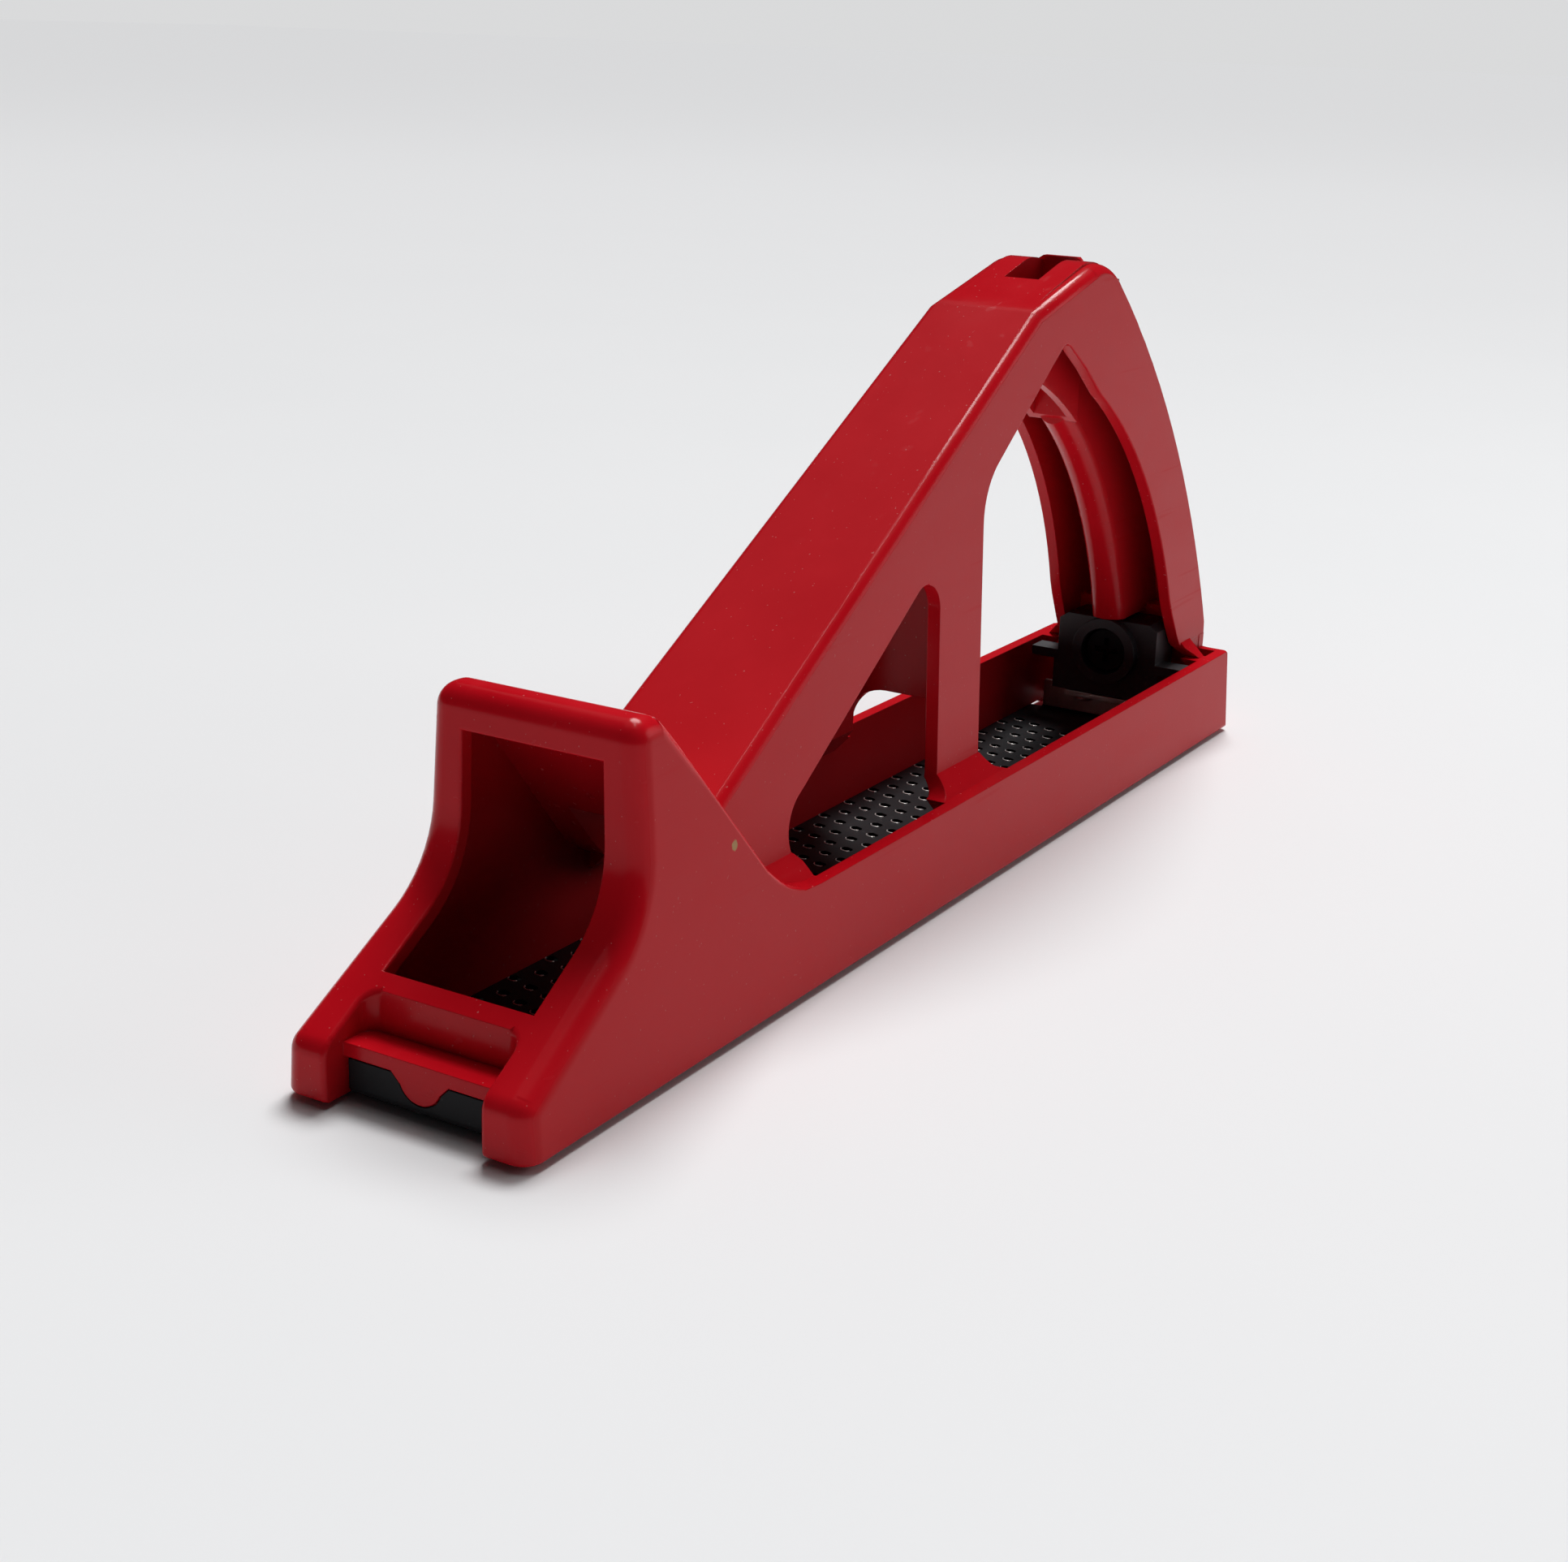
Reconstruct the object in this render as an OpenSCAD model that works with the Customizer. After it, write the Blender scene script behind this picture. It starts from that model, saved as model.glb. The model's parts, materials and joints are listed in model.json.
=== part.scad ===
// Drywall plane: a moulded handle frame that holds a punched rasp blade.
// Sizes are in millimetres. Modules work from the toe (x = 0) to the heel,
// with z = 0 at the underside of the frame, and seat() moves them to the
// origin at the middle of the tooth tips.

/* [Frame] */

// Length from toe to heel
body_len = 250; // [248:0.5:252]
// Width across the sole
body_wid = 43; // [42.6:0.2:45]
// Height of the side rails
rail_h = 16.6; // [16.2:0.1:17]
// Thickness of the moulded walls
wall = 2.4; // [2.2:0.1:2.6]
// Inward lean of the outer sides, per millimetre of height
side_lean = 0.068; // [0.06:0.002:0.07]
// Radius of the toe's upper edge and of the nose's top
nose_r = 3.5; // [3:0.25:3.75]

/* [Nose] */

// Height of the toe's front face
toe_h = 8.3; // [8:0.1:8.8]
// Rise of the sloping front, per millimetre
front_rise = 0.62; // [0.6:0.01:0.64]
// Distance from the toe to the upright face of the nose
nose_x = 28.8; // [28:0.2:29.4]
// Height of the nose
nose_h = 53; // [52:0.5:54]
// Radius between the sloping front and the upright face
nose_cove = 16; // [14:0.5:17]
// Half width of the front opening
mouth_half = 13.3; // [12.8:0.1:13.4]
// Height of the front opening's upper edge
mouth_top = 46.7; // [45:0.1:47]

/* [Handle] */

// Half width of the handle at the sole level
ring_half = 14.85; // [14.6:0.05:15]
// Inward lean of the handle's sides, per millimetre of height
ring_lean = 0.036; // [0.03:0.002:0.04]
// Rise of the front strut, per millimetre
strut_rise = 0.584; // [0.58:0.001:0.588]
// Distance from the toe to the crease at the strut's top
crease_x = 162; // [160:0.5:164]
// Radius of the handle's back
back_r = 170.5; // [169.5:0.5:171]
// Radius over the top of the handle
apex_r = 14; // [12:0.5:16]
// Radius along the edges of strut and handle
edge_r = 3; // [2:0.25:3]
// Length of the hanging slot
slot_len = 16.5; // [15:0.5:17]
// Width of the hanging slot
slot_wid = 6.9; // [6:0.1:7.2]
// Thickness of the fin inside the handle
fin_t = 7.2; // [6.4:0.2:7.4]

/* [Blade] */

// Width of the blade
blade_wid = 40.2; // [39.6:0.2:40.2]
// Thickness of the blade's sheet
sheet_t = 0.8; // [0.7:0.05:0.85]
// How far the teeth stand below the frame
tooth_drop = 1; // [0.8:0.05:1.2]
// Distance between rows of teeth
row_pitch = 4.75; // [4.7:0.05:4.9]
// Distance between the teeth in a row
tooth_pitch = 4.2; // [4.1:0.05:4.3]

/* [Tensioner] */

// Distance from the toe to the front of the slider
slider_x = 228.5; // [228:0.25:229]
// Height of the screw's axis above the underside
screw_z = 17.5; // [17.25:0.25:17.75]
// Diameter of the slider's round front
boss_d = 14.2; // [13.6:0.2:14.4]
// Diameter of the screw's thread
screw_d = 5; // [4.8:0.1:5]
// Width of the nut across its flats
nut_af = 8; // [8:0.1:8.4]
// Radial gap between the screw and what it turns in
run_gap = 0.05; // [0.03:0.01:0.08]
// Gap between the slider and the frame
slide_gap = 0.5; // [0.4:0.05:0.6]

/* [Hidden] */

$fn = 48;

half_wid = body_wid / 2;
heel_r = 2;
edge_proud = 1.1;
red = [0.69, 0.12, 0.15];
black = [0.05, 0.05, 0.055];
steel = [0.62, 0.62, 0.6];

// Points of the nose outline, seen from the side
slope_len = sqrt(1 + front_rise * front_rise);
toe_tan = nose_r * tan(45 - atan(front_rise) / 2);
cove_cx = nose_x - nose_cove;
cove_cz = toe_h + front_rise * cove_cx + nose_cove * slope_len;
cove_tan = [cove_cx + nose_cove * front_rise / slope_len, cove_cz - nose_cove / slope_len];
fall = 1.12;
fall_len = sqrt(1 + fall * fall);
fall_deg = atan(fall);
fall_x = 37.6;
fall_z = 49.8 + nose_h - 53;
top_back_x = fall_x + (fall_z - nose_h) / fall;
top_tan = nose_r * tan(fall_deg / 2);
sweep_r = 20;
sweep_corner_x = fall_x + (fall_z - rail_h) / fall;
sweep_x = sweep_corner_x + sweep_r * tan(fall_deg / 2);
sweep_c = [sweep_x, rail_h + sweep_r];
sweep_dir = [-fall / fall_len, -1 / fall_len];
foot_x = 9.5;
mouth_x = 12.4;

// Points of the handle outline
strut_z0 = 0.56;
strut_len = sqrt(1 + strut_rise * strut_rise);
crease_z = strut_z0 + strut_rise * crease_x;
facet_rise = 0.28;
facet_len = sqrt(1 + facet_rise * facet_rise);
facet_n = [-facet_rise, 1] / facet_len;
facet_d = [1, facet_rise] / facet_len;
back_c = [90.7, -34];
apex_p = [crease_x, crease_z] - apex_r * facet_n - back_c;
apex_b = apex_p * facet_d;
apex_q = apex_p * apex_p - (back_r - apex_r) * (back_r - apex_r);
apex_t = -apex_b + sqrt(apex_b * apex_b - apex_q);
apex_c = apex_p + apex_t * facet_d + back_c;
apex_d = (apex_c - back_c) / (back_r - apex_r);

// The edge cutters over the top of the handle stand a little further round than the surfaces they
// round, so that no seam of a cutter falls on a seam of the handle. The one over the top is 2%
// smaller than its neighbours for the same reason.
round_c = back_c + turned(apex_c - back_c, -0.25);
round_a0 = atan2(round_c[1] - back_c[1], round_c[0] - back_c[0]);
round_v = round_c - [crease_x, crease_z];
round_a1 = atan2(round_v[1], round_v[0]) + asin(apex_r / norm(round_v)) + 90;
round_q = round_c + apex_r * [cos(round_a1), sin(round_a1)];
ring_foot_z = 19.5;
heel_in = body_len - wall;
fin_c = [145.9, 0.6];
window_r = 88.8;
slot_x = 177;
bar_x0 = 125.5;
bar_x1 = 141.5;

// Rebate under the frame that the blade lies in
sheet_z = 0.1;
rebate_z = sheet_z + sheet_t;
rebate_half = blade_wid / 2 + 0.2;
blade_x0 = 6;
tab_x = 4.1;
tab_half = 12.6;
tab_h = 5.7;
notch_half = 3.9;
blade_end = 237.3;

// Tensioner
anchor_x = 242;
anchor_t = 4;
nut_t = 4;
boss_depth = 6;
floor_x = slider_x + boss_depth;
washer_t = 1;
washer_x = floor_x - washer_t - 0.02;
head_h = 3.2;
head_x = washer_x - head_h - 0.08;
block_x1 = 240;
screw_end = body_len - 0.5;
lip_x = blade_end - sheet_t - 1.3;
leg_z = 6;

function turned(p, a) = [p[0] * cos(a) - p[1] * sin(a), p[0] * sin(a) + p[1] * cos(a)];

module seat() {
    translate([-body_len / 2, 0, tooth_drop])
        children();
}

// Extrudes a side view (x, z) across the width
module across(w) {
    translate([0, w / 2, 0])
        rotate([90, 0, 0])
            linear_extrude(w)
                children();
}

// Extrudes a front view (y, z) from x0 to x1
module along(x0, x1) {
    translate([x0, 0, 0])
        rotate([90, 0, 90])
            linear_extrude(x1 - x0)
                children();
}

module both_sides() {
    children();
    mirror([0, 1, 0])
        children();
}

// Section of a body whose sides lean inwards
module lean_section(half, lean, z0, z1) {
    h0 = half - lean * z0;
    h1 = half - lean * z1;
    polygon([[-h0, z0], [h0, z0], [h1, z1], [-h1, z1]]);
}

// Puts a side view on the leaning side that faces -y, with +z outwards
module on_side(half, lean) {
    translate([0, -half, 0])
        rotate([90 - atan(lean), 0, 0])
            children();
}

// Section of an edge cutter. The corner is at the origin and the round stands a little proud of
// both faces, so that it crosses them cleanly although the sides lean.
module edge_section(r) {
    difference() {
        translate([-r, -r])
            square(r + 1);
        translate([-r, -r])
            circle(r * edge_proud);
    }
}

// Cutter that rounds a straight edge from p to q, with the solid to the right
module edge_line(p, q, r) {
    d = q - p;
    translate([p[0], p[1], 0])
        rotate([0, 0, atan2(d[1], d[0])])
            rotate([90, 0, 90])
                linear_extrude(norm(d))
                    edge_section(r);
}

// Cutter that rounds an outward curved edge from angle a0 to a1
module edge_arc(c, ra, a0, a1, r) {
    translate([c[0], c[1], 0])
        rotate([0, 0, a0])
            rotate_extrude(angle = a1 - a0)
                translate([ra, 0])
                    edge_section(r);
}

// Side view of rails and nose
module lower_side() {
    difference() {
        union() {
            polygon([
                [0, 0], [0, toe_h - toe_tan],
                [0, toe_h] + (toe_tan + 0.3) * [1, front_rise] / slope_len, cove_tan,
                [nose_x, cove_cz], [nose_x, nose_h - nose_r],
                [nose_x + nose_r, nose_h], [top_back_x - top_tan, nose_h],
                [top_back_x + top_tan / fall_len, nose_h - top_tan * fall / fall_len],
                sweep_c + sweep_r * sweep_dir, [sweep_x, rail_h], [body_len, rail_h], [body_len, 0]
            ]);
            translate([nose_r, toe_h - toe_tan])
                circle(nose_r);
            translate([nose_x + nose_r, nose_h - nose_r])
                circle(nose_r);
            translate([top_back_x - top_tan, nose_h - nose_r])
                circle(nose_r);
        }
        translate([cove_cx, cove_cz])
            circle(nose_cove);
        translate(sweep_c)
            circle(sweep_r);
    }
}

// Side view of the space inside rails and nose
module lower_inside() {
    difference() {
        polygon([
            [mouth_x, -1], [mouth_x, toe_h + front_rise * mouth_x - wall * slope_len],
            [cove_cx, cove_cz] + (nose_cove + wall) * [front_rise, -1] / slope_len,
            [nose_x + wall, cove_cz], [nose_x + wall, nose_h - wall],
            [top_back_x + (wall - wall * fall_len) / fall, nose_h - wall],
            sweep_c + (sweep_r + wall) * sweep_dir, [sweep_x, rail_h - wall], [sweep_x, rail_h + 1],
            [heel_in, rail_h + 1], [heel_in, -1]
        ]);
        translate([cove_cx, cove_cz])
            circle(nose_cove + wall);
        difference() {
            translate(sweep_c)
                circle(sweep_r + wall);
            translate([sweep_x, 0])
                square(60);
        }
    }
}

// Side view of the handle, inset by t
module ring_side(t, x0, z0) {
    zs = strut_z0 - t * strut_len;
    cx = crease_x + t * (strut_len - facet_len) / (strut_rise - facet_rise);
    cz = zs + strut_rise * cx;
    difference() {
        intersection() {
            polygon([
                [x0, z0], [x0, zs + strut_rise * x0], [cx, cz], [cx + 45, cz + 45 * facet_rise],
                [body_len - t, cz + 45 * facet_rise], [body_len - t, z0]
            ]);
            translate(back_c)
                circle(back_r - t);
        }
        difference() {
            polygon([apex_c, apex_c + 22 * facet_n, apex_c + 22 * apex_d]);
            translate(apex_c)
                circle(apex_r - t);
        }
    }
}

// Side view of the front window
module window_front() {
    c = [82.7, rail_h + 6.5];
    top = [120.5, 49.1];
    n = [-0.64, 1] / sqrt(1.4096);
    polygon([
        c, c + 6.45 * n, top + 5 * n, top, [bar_x0, top[1]], [bar_x0, rail_h + 4], [bar_x0 - 4, rail_h + 4],
        [bar_x0 - 4, rail_h], [c[0], rail_h]
    ]);
    translate(c)
        circle(6.5);
    translate(top)
        circle(5);
    translate([bar_x0 - 4, rail_h + 4])
        circle(4);
}

// Side view of the rear window
module window_rear() {
    n = [-0.69, 1] / sqrt(1.4761);
    knee = [bar_x1 + 12, 60.9];
    intersection() {
        union() {
            polygon([
                [bar_x1 + 4, rail_h], [bar_x1 + 4, rail_h + 4], [bar_x1, rail_h + 4], [bar_x1, knee[1]],
                knee, knee + 12 * n, [169.1, 86.3], [236, 86.3], [236, rail_h]
            ]);
            translate(knee)
                circle(12);
            translate([bar_x1 + 4, rail_h + 4])
                circle(4);
        }
        translate(fin_c)
            circle(window_r);
    }
    polygon([
        [165, 83.45], [172.3, 88.4], [173.7, 88.7], [175.2, 88.2], [182.7, 83.3], [190, 77.6], [180, 70]
    ]);
    polygon([[228.5, 32.6], [231, 27.6], [233.2, 24], [236.1, 19.8], [239.6, rail_h], [225, rail_h]]);
}

// Rails and nose, with the upright corners of the heel rounded
module nose_solid() {
    difference() {
        intersection() {
            across(60)
                lower_side();
            along(-1, body_len + 1)
                lean_section(half_wid, side_lean, -1, 60);
        }
        both_sides()
            on_side(half_wid, side_lean)
                edge_line([body_len, rail_h + 1], [body_len, -1], heel_r);
    }
}

// Handle without its hollow, with the edges of strut, top and back rounded
module ring_solid() {
    difference() {
        difference() {
            intersection() {
                across(60)
                    ring_side(0, 40, ring_foot_z);
                along(20, body_len + 1)
                    lean_section(ring_half, ring_lean, 5, 115);
            }
            both_sides()
                on_side(ring_half, ring_lean) {
                    edge_line([40, strut_z0 + strut_rise * 40], [crease_x, crease_z], edge_r);
                    edge_arc(round_c, apex_r, round_a0, round_a1, edge_r * 0.98);
                }
        }
        both_sides()
            on_side(ring_half, ring_lean) {
                edge_line([crease_x, crease_z], round_q, edge_r);
                edge_arc(back_c, back_r, 17, round_a0, edge_r);
            }
    }
}

module frame_shell() {
    difference() {
        union() {
            nose_solid();
            ring_solid();
        }
        intersection() {
            across(60)
                lower_inside();
            along(0, body_len)
                lean_section(half_wid - wall, side_lean, -1, 60);
        }
        intersection() {
            across(60)
                ring_side(wall, 38, -1);
            along(30, body_len)
                lean_section(ring_half - wall, ring_lean, -1, 115);
        }
        mouth();
        toe_recess();
    }
}

module mouth() {
    x1 = nose_x + wall + 1;
    top_half = mouth_half - 1.2;
    intersection() {
        across(2 * mouth_half)
            polygon([[mouth_x, 10], [x1, 10], [x1, mouth_top], [mouth_x, mouth_top]]);
        along(0, 60)
            polygon([[-mouth_half, 0], [mouth_half, 0], [top_half, mouth_top], [-top_half, mouth_top]]);
    }
}

// The step between the two feet, where the blade's front tab hooks on
module toe_recess() {
    h = 13.4;
    translate([-1, -h, 8])
        cube([foot_x + 1 - 2.5, 2 * h, 12]);
    along(foot_x - 2.6, foot_x) {
        translate([-h + 2.5, 8])
            square([2 * h - 5, 12]);
    }
    both_sides()
        translate([foot_x - 2.5, h - 2.5, 8])
            cylinder(h = 12, r = 2.5);
    translate([-1, -h, -1])
        cube([6, 2 * h, 10]);
    // Room for the bend at the foot of the blade's tab
    translate([-1, -h, -1])
        cube([blade_x0 + 0.7, 2 * h, 2.6]);
}

// Walls that turn outwards from the handle's sides to the rails
module feet(x0, x1) {
    both_sides()
        along(x0, x1)
            polygon([
                [14.13, 20], [17.6, rail_h], [19.3, rail_h], [19.3, 13.1], [17.7, 13.1], [11.75, 19.2],
                [11.7, 22], [14, 22]
            ]);
}

// Cross wall behind the upright bar, arched below
module web() {
    difference() {
        intersection() {
            across(30)
                difference() {
                    ring_side(1, 120, 20.7);
                    translate([100, 0])
                        square([bar_x1 - wall - 100, 120]);
                    translate([bar_x1, 0])
                        square([140, 120]);
                }
            along(120, 150)
                lean_section(ring_half - 1, ring_lean, 5, 115);
        }
        along(130, 150) {
            translate([-3.9, 10])
                square([7.8, 18.7]);
            both_sides_2d()
                translate([3.9, 20.7])
                    circle(8);
        }
    }
}

module both_sides_2d() {
    children();
    mirror([1, 0])
        children();
}

// Deep fin inside the handle, with a full round front
module fin() {
    r0 = 85;
    intersection() {
        translate([fin_c[0], 0, fin_c[1]])
            rotate([90, 0, 0])
                rotate_extrude() {
                    translate([r0 + fin_t / 2, 0])
                        circle(fin_t / 2);
                    translate([r0 + fin_t / 2, -fin_t / 2])
                        square([30, fin_t]);
                }
        across(fin_t + 1)
            intersection() {
                ring_side(1, 120, 24.9);
                translate([slot_x + slot_len + 1, 0])
                    square([100, 120]);
            }
    }
    intersection() {
        translate([fin_c[0], 0, fin_c[1]])
            rotate([90, 0, 0])
                rotate_extrude()
                    translate([92, -fin_t / 2 - 1.8])
                        square([24, 3]);
        across(20)
            intersection() {
                ring_side(1, 120, 32);
                translate([slot_x + slot_len + 1, 0])
                    square([100, 120]);
            }
    }
}

// Collar round the hanging slot
module collar() {
    t = 1.6;
    intersection() {
        translate([slot_x - t, -slot_wid / 2 - t, 60])
            cube([slot_len + 2 * t, slot_wid + 2 * t, 60]);
        across(20)
            difference() {
                union() {
                    ring_side(0.6, 120, 60);
                    translate([slot_x + slot_len, 65])
                        square([t, 102.2 - 65]);
                }
                translate(fin_c)
                    circle(86);
            }
    }
}

// Wall that carries the nut, at the heel
module anchor() {
    both_sides()
        translate([anchor_x, 11.6, 5])
            cube([heel_in - anchor_x + 0.1, 2.5, ring_foot_z - 4.9]);
    translate([heel_in - 0.1, -14.2, 5])
        cube([wall + 0.1, 28.4, ring_foot_z - 4.9]);
    translate([anchor_x, -12, 5])
        cube([anchor_t, 24, 21]);
    translate([anchor_x + anchor_t - 0.1, 0, screw_z])
        rotate([0, 90, 0])
            cylinder(h = body_len - anchor_x - anchor_t, d = nut_af + 6);
}

// Half round with sloping shoulders, for the notch in the blade's front tab
module notch_shape(r) {
    circle(r);
    polygon([[-r - 1.4, 0.3], [r + 1.4, 0.3], [r - 0.5, -1.6], [0.5 - r, -1.6]]);
}

module tongue() {
    along(tab_x - 0.1, 5.1)
        intersection() {
            union() {
                translate([0, tab_h])
                    notch_shape(notch_half - 0.25);
                translate([-13.6, tab_h + 0.25])
                    square([27.2, 4]);
            }
            translate([-13.6, 0])
                square([27.2, 8]);
        }
}

module hex_bar(af, h) {
    rotate([0, 90, 0])
        rotate([0, 0, 30])
            cylinder(h = h, r = af / sqrt(3), $fn = 6);
}

module body_frame() {
    color(red)
        seat()
            difference() {
                union() {
                    difference() {
                        union() {
                            frame_shell();
                            feet(68, 78);
                            feet(bar_x0 - 4, bar_x1 + 4);
                            feet(237, anchor_x);
                        }
                        across(60)
                            window_front();
                        across(60)
                            window_rear();
                    }
                    web();
                    fin();
                    collar();
                    anchor();
                    tongue();
                }
                // Hanging slot
                translate([slot_x, -slot_wid / 2, 60])
                    cube([slot_len, slot_wid, 60]);
                // Rebate for the blade
                translate([blade_x0 - 0.4, -rebate_half, -1])
                    cube([anchor_x - blade_x0, 2 * rebate_half, 1 + rebate_z]);
                // Hollows in the two feet
                both_sides()
                    translate([wall, mouth_half + wall, -1])
                        cube([mouth_x, half_wid - mouth_half - 2 * wall - 0.5, 7.2]);
                // Screw hole and nut pocket
                translate([anchor_x - 1, 0, screw_z])
                    rotate([0, 90, 0])
                        cylinder(h = 20, d = screw_d + 0.6);
                translate([body_len - nut_t - 0.2, 0, screw_z])
                    hex_bar(nut_af, 10);
            }
}

// One row of punched holes, drawn flat
module hole_shape() {
    polygon([[-0.95, -1.15], [0.35, -1.15], [0.8, -0.7], [0.8, 0.7], [0.35, 1.15], [-0.95, 1.15]]);
}

function row_count() = floor((blade_end - 32) / row_pitch);
function tooth_y(i, row) = (i - 4) * tooth_pitch + (row % 2) * tooth_pitch / 2 - tooth_pitch / 4;
function tooth_x(i, row) = 18.5 + row * row_pitch + 0.33 * tooth_y(i, row);

// Places its children at every tooth
module at_teeth() {
    for (row = [0 : row_count() - 1])
        for (i = [0 : 8])
            translate([tooth_x(i, row), tooth_y(i, row), 0])
                children();
}

module blade_flat() {
    difference() {
        union() {
            translate([blade_x0, -blade_wid / 2])
                square([blade_end - blade_x0 - 1.6, blade_wid]);
            translate([tab_x + 1.4, -tab_half])
                square([6, 2 * tab_half]);
        }
        for (row = [0 : row_count() - 1])
            for (i = [0 : 8])
                translate([tooth_x(i, row), tooth_y(i, row)])
                    rotate(-18.3)
                        hole_shape();
    }
}

// Upturned end of the sheet, seen from the side, facing -x
module fold_side(h) {
    r = 1.5;
    difference() {
        union() {
            translate([r, r])
                circle(r);
            translate([0, r])
                square([sheet_t, h - r]);
            translate([r, 0])
                square([0.2, sheet_t]);
        }
        translate([r, r])
            circle(r - sheet_t);
        translate([sheet_t, r])
            square([5, h]);
        translate([r + 0.2, sheet_t])
            square([5, h]);
    }
}

module rasp_blade() {
    color(black)
        seat() {
            translate([0, 0, sheet_z])
                linear_extrude(sheet_t)
                    blade_flat();
            difference() {
                translate([tab_x, 0, sheet_z])
                    across(2 * tab_half)
                        fold_side(tab_h - sheet_z);
                along(0, 20)
                    translate([0, tab_h])
                        notch_shape(notch_half);
            }
            translate([blade_end, 0, sheet_z])
                mirror([1, 0, 0])
                    across(33)
                        fold_side(tab_h - sheet_z);
            at_teeth()
                tooth();
        }
}

// One tooth: a lip that slants down and back from the hole's front edge
module tooth() {
    rotate([0, 0, -18.3])
        across(1.9)
            polygon([
                [-1.35, sheet_z + 0.3], [-0.85, sheet_z + 0.3], [0.3, -tooth_drop], [-0.1, -tooth_drop]
            ]);
}

module tension_slider() {
    color(black)
        seat()
            difference() {
                union() {
                    // Round front
                    translate([slider_x, 0, screw_z])
                        rotate([0, 90, 0])
                            cylinder(h = 8, d = boss_d);
                    // Block between the handle's sides
                    along(230.5, block_x1)
                        polygon([
                            [-11.7 + slide_gap, 9], [11.7 - slide_gap, 9], [11.7 - slide_gap, 23],
                            [9.9 - slide_gap, 24.3], [-9.9 + slide_gap, 24.3], [-11.7 + slide_gap, 23]
                        ]);
                    // Ears that ride between the rails
                    translate([230.5, -17.3, 13.8])
                        cube([5, 34.6, 2]);
                    // Lower skirt
                    translate([230.5, -12, leg_z + 1.4])
                        cube([4, 24, 7]);
                }
                translate([slider_x - 1, 0, screw_z])
                    rotate([0, 90, 0])
                        cylinder(h = boss_depth + 1, d = 10);
                translate([slider_x, 0, screw_z])
                    rotate([0, 90, 0])
                        cylinder(h = 20, d = screw_d + 2 * run_gap);
            }
}

// Steel plate under the slider, whose lip pulls on the blade's rear tab
module hook_plate() {
    color(steel)
        seat() {
            difference() {
                union() {
                    translate([230.5, -9, leg_z])
                        cube([lip_x - 229.5, 18, 1.2]);
                    translate([lip_x, -16, 1.4])
                        cube([1, 32, leg_z + 1.2 - 1.4]);
                }
                for (s = [-1, 1])
                    translate([233, s * 5.5, 0])
                        cylinder(h = 20, d = 2.4);
            }
        }
}

module hook_rivets() {
    color(steel)
        seat()
            for (s = [-1, 1])
                translate([233, s * 5.5, 0]) {
                    translate([0, 0, leg_z - 0.9])
                        cylinder(h = 0.9, d = 4.4);
                    translate([0, 0, leg_z - 0.4])
                        cylinder(h = 1.6, d = 2.4);
                }
}

module tension_screw() {
    color(steel)
        seat()
            translate([head_x, 0, screw_z])
                rotate([0, 90, 0])
                    difference() {
                        union() {
                            cylinder(h = head_h, d = 9);
                            cylinder(h = screw_end - head_x, d = screw_d);
                        }
                        translate([-2.6, -0.55, -1])
                            cube([5.2, 1.1, 3]);
                        translate([-0.55, -2.6, -1])
                            cube([1.1, 5.2, 3]);
                    }
}

module screw_washer() {
    color(steel)
        seat()
            translate([washer_x, 0, screw_z])
                rotate([0, 90, 0])
                    difference() {
                        cylinder(h = washer_t, d = 9.6);
                        translate([0, 0, -1])
                            cylinder(h = 5, d = screw_d + 0.3);
                    }
}

module heel_nut() {
    color(steel)
        seat()
            difference() {
                translate([body_len - nut_t - 0.1, 0, screw_z])
                    hex_bar(nut_af - 0.1, nut_t);
                translate([body_len - 20, 0, screw_z])
                    rotate([0, 90, 0])
                        cylinder(h = 30, d = screw_d + 2 * run_gap);
            }
}

body_frame();
rasp_blade();
tension_slider();
hook_plate();
hook_rivets();
tension_screw();
screw_washer();
heel_nut();
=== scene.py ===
"""Looks of the drywall plane: a red moulded handle frame over a black punched blade."""

import json
import math

import bpy
from mathutils import Matrix, Vector

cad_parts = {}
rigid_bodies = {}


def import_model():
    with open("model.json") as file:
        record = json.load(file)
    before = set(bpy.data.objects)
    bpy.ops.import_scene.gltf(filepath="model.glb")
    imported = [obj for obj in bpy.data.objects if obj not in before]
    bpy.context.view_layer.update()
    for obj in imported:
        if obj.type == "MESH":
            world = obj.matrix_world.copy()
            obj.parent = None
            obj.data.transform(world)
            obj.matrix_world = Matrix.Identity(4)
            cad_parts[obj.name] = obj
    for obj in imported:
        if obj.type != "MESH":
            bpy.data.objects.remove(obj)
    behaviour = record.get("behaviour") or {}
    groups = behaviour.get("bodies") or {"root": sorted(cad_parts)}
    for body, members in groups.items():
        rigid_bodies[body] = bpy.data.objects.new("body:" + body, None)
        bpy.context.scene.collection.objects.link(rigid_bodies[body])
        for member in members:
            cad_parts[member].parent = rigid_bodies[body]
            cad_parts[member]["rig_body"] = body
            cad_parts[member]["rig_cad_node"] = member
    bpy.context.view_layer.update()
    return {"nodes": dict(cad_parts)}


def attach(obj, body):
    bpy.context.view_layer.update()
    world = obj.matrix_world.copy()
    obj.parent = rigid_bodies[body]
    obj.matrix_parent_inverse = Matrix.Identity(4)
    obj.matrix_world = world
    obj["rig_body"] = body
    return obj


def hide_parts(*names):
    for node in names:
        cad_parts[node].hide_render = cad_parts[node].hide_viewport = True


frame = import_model()

MM = 0.001
BODY_LENGTH = 250.0
TOOTH_DROP = 1.0


def place(x, y, z):
    """A point given in millimetres from the toe and from the frame's underside, in the row frame."""
    return Vector(((x - BODY_LENGTH / 2) * MM, y * MM, (z + TOOTH_DROP) * MM))


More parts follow.
